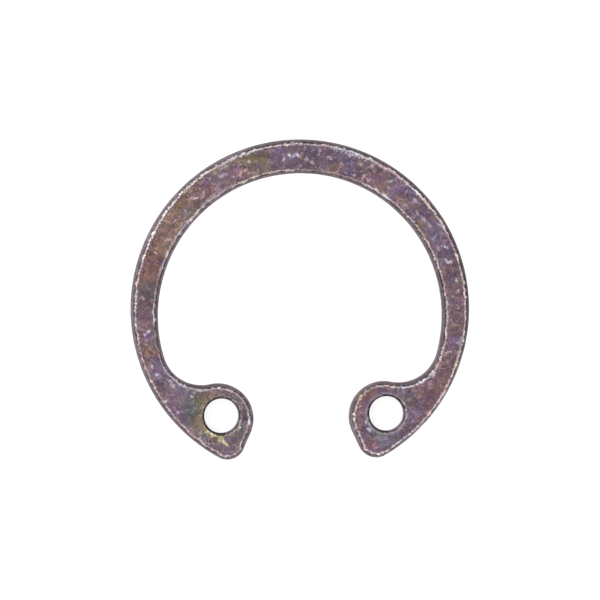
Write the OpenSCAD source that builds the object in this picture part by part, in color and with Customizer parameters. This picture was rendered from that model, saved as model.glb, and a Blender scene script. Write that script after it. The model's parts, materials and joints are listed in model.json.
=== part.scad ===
// Internal retaining ring (circlip) for an 18 mm bore, stamped in one piece from 1 mm spring steel.
// The ring lies flat. The origin is the centre of its outer edge, halfway through the thickness,
// +Z is the axis of the bore that it seats in, and the gap between the two lugs faces -Y.

/* [Bow] */
// Outer diameter when the ring is free
outer_d = 19.5; // [19.2:0.1:20]
// Thickness of the strip
thickness = 1.0; // [0.8:0.1:1.2]
// Radial width of the bow at its widest, opposite the gap
bow_w = 1.95; // [1.8:0.05:2.2]
// How far the inner edge is set off-centre towards the gap, so that the bow narrows on its way to the lugs
inner_drop = 0.4; // [0.3:0.05:0.5]

/* [Lugs] */
// Reach of a lug, from the outer edge of the ring inwards
lug_reach = 3.9; // [3.7:0.05:4.1]
// Radius of a lug's round head
lug_r = 2.03; // [1.9:0.05:2.15]
// Angle at the ring's centre between the middle of the gap and the middle of a lug
lug_angle = 37.4; // [36:0.2:39]
// Radius of the hollow between a lug and the bow
hollow_r = 2.28; // [1.9:0.05:2.6]
// Radius of the toe, where a lug runs out into the outer edge
toe_r = 1.03; // [0.9:0.05:1.15]
// Angle at the ring's centre between the middle of the gap and the middle of a toe
toe_angle = 29.5; // [28.5:0.25:30.5]

/* [Plier holes] */
// Diameter of the two holes for the tips of the pliers
hole_d = 2.0; // [1.7:0.05:2.2]
// Distance of a hole's middle from the outer edge
hole_inset = 2.02; // [1.9:0.05:2.15]
// Angle at the ring's centre between the middle of the gap and a hole
hole_angle = 38; // [37:0.2:39]
// How far to one side the punch put the pair of holes
hole_shift = 0.15; // [-0.2:0.05:0.2]

/* [Edges] */
// Radius of the upper edges, on the side that the die rolled over
roll_r = 0.3; // [0.2:0.02:0.36]
// Radius of the lower edges, which are only deburred
deburr_r = 0.16; // [0.1:0.02:0.24]
// Radius of the upper edges of the holes
hole_roll_r = 0.16; // [0.08:0.02:0.2]
// Angle left between a rounded edge and the flat that it breaks
crease = 12; // [8:1:20]

/* [Hidden] */
$fn = 180;

outer_r = outer_d / 2;
inner_r = outer_r - bow_w + inner_drop;
top = thickness / 2;
// How far one edge round is sunk below the next, so that they cross in a clean line
seam = 0.006;
// How far cuts run past what they cut
over = 1;

bow_centre = [0, -inner_drop];
lug_centre = from_gap(outer_r - lug_reach + lug_r, lug_angle);
toe_centre = from_gap(outer_r - toe_r + seam, toe_angle);
hole_centre = from_gap(outer_r - hole_inset, hole_angle);
// The hollow's circle touches the inner edge from within and the lug's head from outside
hollow_centre = corner(bow_centre, inner_r - hollow_r, lug_centre, hollow_r + lug_r);

// A point at a distance r from the ring's centre, at an angle from the middle of the gap towards +X
function from_gap(r, angle) = r * [sin(angle), -cos(angle)];

// Direction of v, in degrees from +X
function heading(v) = atan2(v.y, v.x);

// The point that lies ra from a and rb from b, on the left of the way from a to b
function corner(a, ra, b, rb) =
    let (ab = b - a, d = norm(ab), along = (ra^2 - rb^2 + d^2) / (2 * d), across = sqrt(ra^2 - along^2))
    a + (along * ab + across * [-ab.y, ab.x]) / d;

// Cross-section of the strip at an edge: the edge is at x = 0, and the strip fills x = 0 to x = depth
module edge_section(depth, upper_r, lower_r) {
    upper = upper_r * cos(crease);
    lower = lower_r * cos(crease);
    intersection() {
        translate([0, -top]) square([depth, thickness]);
        union() {
            translate([0, lower - top]) square([depth, thickness - upper - lower]);
            translate([upper, 0]) square([depth - upper, thickness]);
            translate([lower, -thickness]) square([depth - lower, thickness]);
            translate([upper, top - upper]) circle(upper_r);
            translate([lower, lower - top]) circle(lower_r);
        }
    }
}

module strip_section(depth) edge_section(depth, roll_r, deburr_r);

// Disc with rounded edges
module disc(r) {
    rotate_extrude() intersection() {
        translate([r, 0]) mirror([1, 0]) strip_section(r + over);
        translate([0, -top]) square([r, thickness]);
    }
}

// Strip that bends round an open inside of radius r, from one heading to the next
module bend(r, depth, from, to) {
    rotate([0, 0, from]) rotate_extrude(angle = to - from) translate([r, 0]) strip_section(depth);
}

// Straight strip along -Y, with its rounded edge at x = 0
module straight(depth, length) rotate([90, 0, 0]) linear_extrude(length) strip_section(depth);

// The curved beam, as wide as it comes before the outer edge is trimmed
module bow() {
    end = heading(toe_centre - bow_centre);
    translate(bow_centre) bend(inner_r, bow_w + inner_drop, end, 180 - end);
}

// Web that fills the corner between the bow and the lug's head, up to the hollow
module web() {
    translate(hollow_centre)
        bend(
            hollow_r + seam,
            norm(toe_centre - hollow_centre) - hollow_r,
            heading(lug_centre - hollow_centre),
            heading(hollow_centre - bow_centre)
        );
}

// Straight side that faces the gap and joins the round head to the toe
module gap_side() {
    axis = toe_centre - lug_centre;
    normal = heading(axis) - acos((lug_r - toe_r) / norm(axis));
    length = sqrt(norm(axis)^2 - (lug_r - toe_r)^2);
    translate(lug_centre) rotate([0, 0, normal + 180]) translate([seam - lug_r, 0, 0]) straight(toe_r, length);
}

module lug() {
    translate(lug_centre) disc(lug_r);
    translate(toe_centre) disc(toe_r);
    gap_side();
    web();
}

module plier_hole() {
    hole_r = hole_d / 2;
    rotate_extrude() difference() {
        translate([0, -top - over]) square([hole_r + hole_roll_r, thickness + 2 * over]);
        translate([hole_r, 0]) edge_section(over, hole_roll_r, deburr_r / 2);
    }
}

module retaining_ring() {
    color([0.36, 0.3, 0.31]) difference() {
        intersection() {
            disc(outer_r);
            union() {
                bow();
                for (side = [0, 1]) mirror([side, 0, 0]) lug();
            }
        }
        for (side = [-1, 1]) translate([side * hole_centre.x + hole_shift, hole_centre.y]) plier_hole();
    }
}

retaining_ring();
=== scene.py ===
# Looks of an internal retaining ring: stamped, tumbled and tempered spring steel on a white table.
import json
import math
import random

import bpy
import numpy as np
from mathutils import Matrix, Vector, geometry, kdtree, noise


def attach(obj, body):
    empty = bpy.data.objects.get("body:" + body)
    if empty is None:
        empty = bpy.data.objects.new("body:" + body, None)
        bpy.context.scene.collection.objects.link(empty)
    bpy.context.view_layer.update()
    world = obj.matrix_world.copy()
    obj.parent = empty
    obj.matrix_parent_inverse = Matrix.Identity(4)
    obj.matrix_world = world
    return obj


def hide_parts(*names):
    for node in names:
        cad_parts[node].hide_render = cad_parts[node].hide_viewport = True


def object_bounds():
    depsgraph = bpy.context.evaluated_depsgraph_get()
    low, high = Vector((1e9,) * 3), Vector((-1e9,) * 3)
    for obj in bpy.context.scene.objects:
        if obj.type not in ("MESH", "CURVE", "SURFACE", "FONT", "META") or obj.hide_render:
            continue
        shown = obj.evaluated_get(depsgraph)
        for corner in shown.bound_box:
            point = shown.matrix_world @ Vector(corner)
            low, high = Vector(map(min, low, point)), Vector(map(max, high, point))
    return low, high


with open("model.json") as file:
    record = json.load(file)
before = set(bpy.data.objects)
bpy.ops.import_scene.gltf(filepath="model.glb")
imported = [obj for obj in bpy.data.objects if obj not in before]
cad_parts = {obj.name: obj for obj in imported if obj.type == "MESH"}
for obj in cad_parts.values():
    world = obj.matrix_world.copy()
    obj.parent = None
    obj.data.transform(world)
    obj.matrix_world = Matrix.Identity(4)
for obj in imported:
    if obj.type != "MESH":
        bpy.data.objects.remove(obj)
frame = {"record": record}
CAD_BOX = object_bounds()
MOUNTS = {mount["name"]: mount for mount in frame["record"]["mounts"]}

# Sizes in millimetres, in the ring's frame: +Z up, the gap between the lugs faces -Y
MM = 0.001
OUTER_R = MOUNTS["groove_rim"]["dims"]["r_mm"]
TOP = CAD_BOX[1][2] / MM
BOW_W = 1.95
INNER_DROP = 0.4
INNER_R = OUTER_R - BOW_W + INNER_DROP
LUG_REACH = 3.9
LUG_R = 2.03
LUG_ANGLE = 37.4
HOLLOW_R = 2.28
TOE_R = 1.03
TOE_ANGLE = 29.5
HOLE_R = MOUNTS["plier_hole_left"]["dims"]["r_mm"]
HOLES = [
    tuple(MOUNTS[name]["pos_m"][axis] / MM for axis in (0, 1))
    for name in ("plier_hole_left", "plier_hole_right")
]

# Edges: how much of this radius the outer and the inner edge show, by angle in degrees from +X
ROLL_R = 0.3
OUTER_ROLL = (
    (-60, 0.72), (-36, 0.64), (-20, 0.86), (15, 0.88), (60, 1.0), (80, 0.96), (105, 1.02),
    (118, 0.92), (132, 0.74), (142, 0.78), (156, 0.88), (180, 0.94), (215, 0.9), (230, 0.84),
)
INNER_ROLL = (
    (-64, 1.1), (-55, 0.95), (-44, 0.94), (-35, 1.18), (-20, 1.08), (0, 1.04), (25, 1.0),
    (50, 0.88), (75, 0.84), (95, 0.86), (115, 0.92), (140, 0.96), (190, 1.1), (203, 0.98),
    (215, 0.94), (224, 1.2), (235, 1.05), (244, 1.2),
)
# The same at the tips of the toes, and how far in from the outer edge that begins and is complete
TIP_ROLL = 0.84
TIP_REACH = (1.5, 0.9)
# How far in from the outer edge the inner edge's radius takes over
ROLL_CHANGE = 0.3
# Waves in that radius: their share of it, their length, and where in the noise they are taken
ROLL_WAVES = ((0.1, 1.3, 0), (0.08, 0.35, 5))
DEBURR_R = 0.16
HOLE_ROLL_R = 0.16
HOLE_DEBURR_R = 0.08
CREASE = math.radians(12)

# Mesh spacing
EDGE_STEP = 0.065
TOP_STEP = 0.052
UNDER_STEP = 0.1
SUPPORTS = (0.025, 0.055, 0.1)
UNDER_SUPPORTS = SUPPORTS[:2]
# How far a flat's free points keep from the last support, and how far they stray, in steps
CLEARANCE = 0.6
JITTER = 0.15
# Points nearer than this, in millimetres, are one
SAME_POINT = 1e-7
ROLL_ROWS = 8
LAND_ROWS = 7
DEBURR_ROWS = 4
# Blender's number for a triangulation that keeps inside its edges
INSIDE_EDGES = 1

# Half the width of a bright mark, a rubbed spot with a painted glint, in millimetres
MARK_WIDTH = 0.06

# How fast the octaves of the noise fade, and how much finer each is than the last
NOISE_FADE = 0.9
NOISE_RATIO = 2.1

# Where the random draws start
SEED = 18

# Nicks in the upper creases: how many along the outline and round each hole, least and most depth and reach
NICKS = 260
HOLE_NICKS = 12
NICK_DEPTH = (0.004, 0.022)
NICK_REACH = (0.05, 0.2)
NICK_LIMIT = 0.04
# How far from the crease a nick fades out, and how much of its depth goes inwards and downwards
NICK_FADE = 0.07
NICK_IN = 0.8
NICK_DOWN = 0.6

# The sheared walls: lines drawn downwards, and a torn band that begins and is complete at these heights
DRAWN_DEPTH = 0.002
DRAWN_SIZE = 0.11
DRAWN_STRETCH = 0.12
TORN_BAND = (0.02, -0.12)
TORN_STEP = 0.004
TORN_DEPTH = 0.014
TORN_SIZE = 0.13

# The worn faces: how deep they lie, and each relief's height, size and octaves of noise
FACE_WEAR = 0.004
FACE_RELIEF = ((0.0035, 0.9, 3), (0.0022, 0.22, 3), (0.0012, 0.09, 2))
FACE_LIMIT = 0.03
DENTS = 1500
DENT_REACH = (0.06, 0.2)
DENT_DEPTH = (0.002, 0.01)
# How far below a face its relief fades out
FACE_FADE = 0.2


def srgb(red, green, blue):
    """A colour given as it looks on a screen, 0 to 255, in Blender's linear values."""
    shares = (red / 255, green / 255, blue / 255)
    return tuple(c / 12.92 if c <= 0.04045 else ((c + 0.055) / 1.055) ** 2.4 for c in shares)


# Outline

def from_gap(radius, angle):
    """A point on the ring's left side, at an angle in degrees from the middle of the gap."""
    return np.array([-radius * math.sin(math.radians(angle)), -radius * math.cos(math.radians(angle))])


def heading(vector):
    """The direction of a vector, in radians."""
    return math.atan2(vector[1], vector[0])


def corner(a, ra, b, rb):
    """The point that lies ra from a and rb from b, on the right of the way from a to b."""
    ab = b - a
    d = np.linalg.norm(ab)
    along = (ra**2 - rb**2 + d**2) / (2 * d)
    across = math.sqrt(ra**2 - along**2)
    return a + (along * ab + across * np.array([ab[1], -ab[0]])) / d


def arc(centre, radius, start, end, out):
    """Points and outward normals along an arc but for its last point. out is 1 if the metal is inside it."""
    count = max(3, round(abs(end - start) * radius / EDGE_STEP))
    angles = np.linspace(start, end, count, endpoint=False)
    unit = np.stack([np.cos(angles), np.sin(angles)], axis=1)
    return centre + radius * unit, out * unit


def outline():
    """The ring's edge, counter-clockwise from the top: points and outward normals."""
    bow = np.array([0, -INNER_DROP])
    lug = from_gap(OUTER_R - LUG_REACH + LUG_R, LUG_ANGLE)
    toe = from_gap(OUTER_R - TOE_R, TOE_ANGLE)
    hollow = corner(bow, INNER_R - HOLLOW_R, lug, HOLLOW_R + LUG_R)
    turn = 2 * math.pi
    toe_start = heading(toe) + turn
    lug_end = heading(hollow - lug)
    hollow_end = heading(hollow - bow) + turn
    axis = toe - lug
    side = heading(axis) + math.acos((LUG_R - TOE_R) / np.linalg.norm(axis))
    normal = np.array([math.cos(side), math.sin(side)])
    line_start, line_end = toe + TOE_R * normal, lug + LUG_R * normal
    steps = round(np.linalg.norm(line_end - line_start) / EDGE_STEP)
    line = line_start + np.linspace(0, 1, steps, endpoint=False)[:, None] * (line_end - line_start)
    left = [
        arc(np.zeros(2), OUTER_R, turn / 4, toe_start, 1),
        arc(toe, TOE_R, toe_start, side + turn, 1),
        (line, np.tile(normal, (steps, 1))),
        arc(lug, LUG_R, side, lug_end, 1),
        arc(hollow, HOLLOW_R, lug_end + turn / 2, hollow_end, -1),
        arc(bow, INNER_R, hollow_end, turn / 4, -1),
    ]
    points = np.concatenate([piece[0] for piece in left])
    normals = np.concatenate([piece[1] for piece in left])
    flip = np.array([-1, 1])
    inner_top = np.array([[0, INNER_R - INNER_DROP]])
    down = np.array([[0, -1]])
    points = np.concatenate([points, inner_top, points[:0:-1] * flip])
    normals = np.concatenate([normals, down, normals[:0:-1] * flip])
    return points, normals


def hole_edge(centre):
    """A plier hole's edge, clockwise, with normals out of the metal."""
    count = round(2 * math.pi * HOLE_R / EDGE_STEP)
    angles = np.linspace(0, -2 * math.pi, count, endpoint=False)
    unit = np.stack([np.cos(angles), np.sin(angles)], axis=1)
    return np.array(centre) + HOLE_R * unit, -unit


# Relief

def fbm(x, y, z, size, octaves=3):
    """Smooth noise, about -1 to 1, with features of a given size in millimetres."""
    return noise.fractal(Vector((x / size, y / size, z / size)), NOISE_FADE, NOISE_RATIO, octaves)


def edge_section(upper_r, lower_r):
    """Rows of the edge from the upper face to the lower one: inset from the outline, height, zone."""
    upper, lower = upper_r * math.cos(CREASE), lower_r * math.cos(CREASE)
    upper_crease = upper - upper_r * math.sin(CREASE)
    lower_crease = lower - lower_r * math.sin(CREASE)
    sweep = math.pi / 2 - 2 * CREASE
    rows = [(upper_crease + step, TOP, "face") for step in reversed(SUPPORTS)]
    for row in range(ROLL_ROWS + 1):
        angle = CREASE + sweep * row / ROLL_ROWS
        rows.append((upper - upper_r * math.sin(angle), TOP - upper + upper_r * math.cos(angle), "roll"))
    land_top = rows[-1][1]
    land_low = lower - TOP - lower_r * math.sin(CREASE)
    for row in range(1, LAND_ROWS):
        rows.append((0, land_top + (land_low - land_top) * row / LAND_ROWS, "land"))
    for row in range(DEBURR_ROWS + 1):
        angle = math.pi / 2 - CREASE - sweep * row / DEBURR_ROWS
        rows.append((lower - lower_r * math.sin(angle), lower - TOP - lower_r * math.cos(angle), "deburr"))
    rows += [(lower_crease + step, -TOP, "under") for step in UNDER_SUPPORTS]
    return rows


def smooth(value, low, high):
    """0 below low, 1 above high, and a smooth step between them."""
    t = np.clip((value - low) / (high - low), 0, 1)
    return t * t * (3 - 2 * t)


def nicks(points, count, rng):
    """How deep the crease is nicked at each point along a loop, in millimetres."""
    steps = np.linalg.norm(np.roll(points, -1, axis=0) - points, axis=1)
    along = np.concatenate([[0], np.cumsum(steps[:-1])])
    length = steps.sum()
    depth = np.zeros(len(points))
    for _ in range(count):
        gap = np.abs(along - rng.uniform(0, length))
        gap = np.minimum(gap, length - gap)
        depth += rng.uniform(*NICK_DEPTH) * np.exp(-((gap / rng.uniform(*NICK_REACH)) ** 2))
    return np.minimum(depth, NICK_LIMIT)


def wall_relief(points, height):
    """How far a wall lies in from its true plane at given heights."""
    torn = smooth(height, *TORN_BAND)
    rough = np.array([abs(fbm(x, y, h, TORN_SIZE)) for (x, y), h in zip(points, height)])
    drawn = np.array([fbm(x, y, DRAWN_STRETCH * h, DRAWN_SIZE) for (x, y), h in zip(points, height)])
    return DRAWN_DEPTH + DRAWN_DEPTH * drawn + torn * (TORN_STEP + TORN_DEPTH * rough)


def edge_rows(points, normals, section, scale, nick_depth):
    """The rows of vertices of one edge loop, and each vertex's distance from the nearest crease."""
    rolls = [row for row in section if row[2] == "roll"]
    deburrs = [row for row in section if row[2] == "deburr"]
    crease_inset, land_top = rolls[0][0], rolls[-1][1]
    land_low = deburrs[0][1]
    low_crease = deburrs[-1][0]
    rows = []
    for inset, z, zone in section:
        if zone in ("face", "roll"):
            shift = inset * scale if zone == "roll" else crease_inset * scale + (inset - crease_inset)
            height = TOP - (TOP - z) * scale
        else:
            shift = np.full(len(points), inset)
            height = np.full(len(points), z)
            if zone == "land":
                new_top = TOP - (TOP - land_top) * scale
                height = land_low + (z - land_low) * (new_top - land_low) / (land_top - land_low)
                shift = wall_relief(points, height)
        near = np.exp(-((shift - crease_inset * scale) ** 2 + (height - TOP) ** 2) / NICK_FADE**2)
        shift = shift + nick_depth * near * NICK_IN
        height = height - nick_depth * near * NICK_DOWN
        upper = inset - crease_inset if zone == "face" else -math.hypot(inset - crease_inset, z - TOP)
        lower = inset - low_crease if zone == "under" else -math.hypot(inset - low_crease, z + TOP)
        row = np.column_stack([points - normals * shift[:, None], height])
        rows.append((row, upper if abs(upper) < abs(lower) else lower))
    return rows


class Builder:
    """Collects the vertices, faces and values of one mesh."""

    def __init__(self):
        self.points = []
        self.faces = []
        self.crease = []
        self.bore = []

    def add(self, points, crease, bore=0.0):
        first = len(self.points)
        self.points.extend(map(tuple, points))
        self.crease.extend(crease)
        self.bore.extend([bore] * len(points))
        return first

    def loop(self, rows, bore):
        """Joins the rows of an edge loop with quads. Returns its first and last row."""
        count = len(rows[0][0])
        starts = [self.add(points, [crease] * count, bore) for points, crease in rows]
        for upper, lower in zip(starts, starts[1:]):
            for i in range(count):
                j = (i + 1) % count
                self.faces.append((upper + i, lower + i, lower + j, upper + j))
        return [range(start, start + count) for start in (starts[0], starts[-1])]

    def fill(self, loops, step, height, depth_at, rng):
        """Fills the flat between loops with even triangles, its free points kept off the loops."""
        low = np.array([-OUTER_R, -OUTER_R])
        rise = step * math.sqrt(3) / 2
        grid = []
        for row in range(int(2 * OUTER_R / rise) + 1):
            for column in range(int(2 * OUTER_R / step) + 1):
                spot = low + ((column + 0.5 * (row % 2)) * step, row * rise)
                stray = (rng.uniform(-JITTER, JITTER) * step, rng.uniform(-JITTER, JITTER) * step)
                grid.append(spot + stray)
        grid = np.array(grid)
        depth = depth_at(grid)
        last_support = SUPPORTS[-1] if height > 0 else UNDER_SUPPORTS[-1]
        inside = depth > last_support + CLEARANCE * step
        grid, depth = grid[inside], depth[inside]
        first = self.add(np.column_stack([grid, np.full(len(grid), height)]), depth)
        names = [i for loop in loops for i in loop] + list(range(first, first + len(grid)))
        flat = [Vector(self.points[i][:2]) for i in names]
        edges, start = [], 0
        for loop in loops:
            edges += [(start + i, start + (i + 1) % len(loop)) for i in range(len(loop))]
            start += len(loop)
        result = geometry.delaunay_2d_cdt(flat, edges, [], INSIDE_EDGES, SAME_POINT)
        origin = [names[old[0]] for old in result[3]]
        holes = [set(loop) for loop in loops[1:]]
        for face in result[2]:
            corners = [origin[i] for i in face]
            if not any(hole.issuperset(corners) for hole in holes):
                self.faces.append(tuple(corners) if height > 0 else tuple(reversed(corners)))


def depth_from(points, insets, normals, hole_inset):
    """A function that tells how far spots on a flat lie in from the nearest crease."""
    tree = kdtree.KDTree(len(points))
    for i, (x, y) in enumerate(points):
        tree.insert((x, y, 0), i)
    tree.balance()

    def depth_at(spots):
        near = np.array([tree.find((x, y, 0))[1] for x, y in spots])
        depth = np.sum((points[near] - spots) * normals[near], axis=1) - insets[near]
        for hole in HOLES:
            depth = np.minimum(depth, np.linalg.norm(spots - hole, axis=1) - HOLE_R - hole_inset)
        return depth

    return depth_at


def crease_inset(radius):
    """How far in from the wall an edge of this radius meets the face."""
    return radius * (math.cos(CREASE) - math.sin(CREASE))


def face_depth(spots, rng):
    """How deep the worn faces lie under their true plane: waves, grain and dents, in millimetres."""
    depth = np.full(len(spots), FACE_WEAR)
    for height, size, octaves in FACE_RELIEF:
        depth += height * np.array([fbm(x, y, z, size, octaves) for x, y, z in spots])
    tree = kdtree.KDTree(len(spots))
    for i, spot in enumerate(spots):
        tree.insert(spot, i)
    tree.balance()
    for _ in range(DENTS):
        angle, radius = rng.uniform(0, 2 * math.pi), rng.uniform(INNER_R - INNER_DROP, OUTER_R)
        centre = (radius * math.sin(angle), radius * math.cos(angle), rng.choice((TOP, -TOP)))
        reach, deep = rng.uniform(*DENT_REACH), rng.uniform(*DENT_DEPTH)
        for _, i, distance in tree.find_range(centre, 2 * reach):
            depth[i] += deep * math.exp(-((distance / reach) ** 2))
    return np.clip(depth, 0, FACE_LIMIT)


def roll_scale(points):
    """How much of the edge's radius shows at each point of the outline."""
    radius = np.linalg.norm(points, axis=1)
    turn = (np.degrees(np.arctan2(points[:, 1], points[:, 0])) + 90) % 360 - 90
    outer_roll, inner_roll = (np.interp(turn, *zip(*rolls)) for rolls in (OUTER_ROLL, INNER_ROLL))
    tip = smooth(radius, *(OUTER_R - reach for reach in TIP_REACH))
    inner_roll += (TIP_ROLL - inner_roll) * tip
    inward = smooth(OUTER_R - radius, 0, ROLL_CHANGE)
    waves = sum(share * np.array([fbm(x, y, z, size) for x, y in points]) for share, size, z in ROLL_WAVES)
    return (outer_roll + (inner_roll - outer_roll) * inward) * (1 + waves)


def build_ring():
    """The ring as one closed mesh, with the values that its finish follows."""
    rng = random.Random(SEED)
    built = Builder()
    points, normals = outline()
    scale = roll_scale(points)
    rows = edge_rows(points, normals, edge_section(ROLL_R, DEBURR_R), scale, nicks(points, NICKS, rng))
    ends = [built.loop(rows, 0)]
    for hole in HOLES:
        rim, rim_normals = hole_edge(hole)
        steady = np.ones(len(rim))
        section = edge_section(HOLE_ROLL_R, HOLE_DEBURR_R)
        rows = edge_rows(rim, rim_normals, section, steady, nicks(rim, HOLE_NICKS, rng))
        ends.append(built.loop(rows, 1))
    above = depth_from(points, crease_inset(ROLL_R) * scale, normals, crease_inset(HOLE_ROLL_R))
    below = depth_from(
        points, np.full(len(points), crease_inset(DEBURR_R)), normals, crease_inset(HOLE_DEBURR_R)
    )
    built.fill([end[0] for end in ends], TOP_STEP, TOP, above, rng)
    built.fill([end[1] for end in ends], UNDER_STEP, -TOP, below, rng)

    spots = np.array(built.points)
    share = smooth(np.abs(spots[:, 2]), TOP - FACE_FADE, TOP)
    flat = share > 0
    drop = np.zeros(len(spots))
    drop[flat] = face_depth(spots[flat], rng) * share[flat]
    spots[:, 2] -= np.sign(spots[:, 2]) * drop

    mesh = bpy.data.meshes.new("spring_steel_ring")
    mesh.from_pydata(spots * MM, [], built.faces)
    mesh.validate()
    mesh.polygons.foreach_set("use_smooth", [True] * len(mesh.polygons))
    for name, values in (("crease", built.crease), ("bore", built.bore)):
        mesh.attributes.new(name, "FLOAT", "POINT").data.foreach_set("value", values)
    ring = bpy.data.objects.new("spring_steel_ring", mesh)
    bpy.context.collection.objects.link(ring)
    return ring, spots


# Temper colours, as they look on a screen

BROWN = (137, 113, 100)
OLIVE = (122, 112, 92)
RUST = (136, 101, 96)
MAUVE = (125, 104, 110)
PLUM = (130, 97, 118)
VIOLET = (113, 97, 125)
BLUE = (102, 104, 130)
SLATE = (108, 106, 112)
STONE = (120, 110, 104)
TEAL = (98, 116, 112)
DUSK = (102, 84, 94)
GOLD = (176, 150, 84)
STRAW = (250, 240, 178)
PALE = (255, 252, 216)
AMBER = (196, 162, 114)
MIST = (194, 208, 206)
HEATHER = (136, 118, 140)
HAZE = (118, 112, 124)
BLUSH = (236, 214, 216)
PINK = (228, 196, 206)
MAGENTA = (200, 156, 192)
LILAC = (216, 206, 230)
FROST = (236, 234, 244)
PEACH = (240, 218, 210)
CREAM = (240, 230, 222)
CHALK = (248, 242, 244)
ROSE = (200, 172, 178)
ASH = (172, 164, 150)
HONEY = (206, 188, 146)
# How the film's tint wanders: factors of red, green and blue
WARM = (1.09, 0.98, 0.98)
COOL = (0.94, 1.0, 1.02)
# How much the patches' hues are pushed apart, because the ones that overlap wash each other out
VIVID = 1.2
# How far noise moves the patches' and the marks' outlines, its size, its octaves and where it is taken
PATCH_BEND = (0.22, 0.7, 3, (0, 40))
MARK_BEND = (0.08, 0.14, 2, (80, 120))
# The marks' unevenness: the size and octaves of its noise, and the usual and the least share
MARK_GRAIN = (0.07, 2)
MARK_SHARE = 0.9
LEAST_SHARE = 0.3
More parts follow.
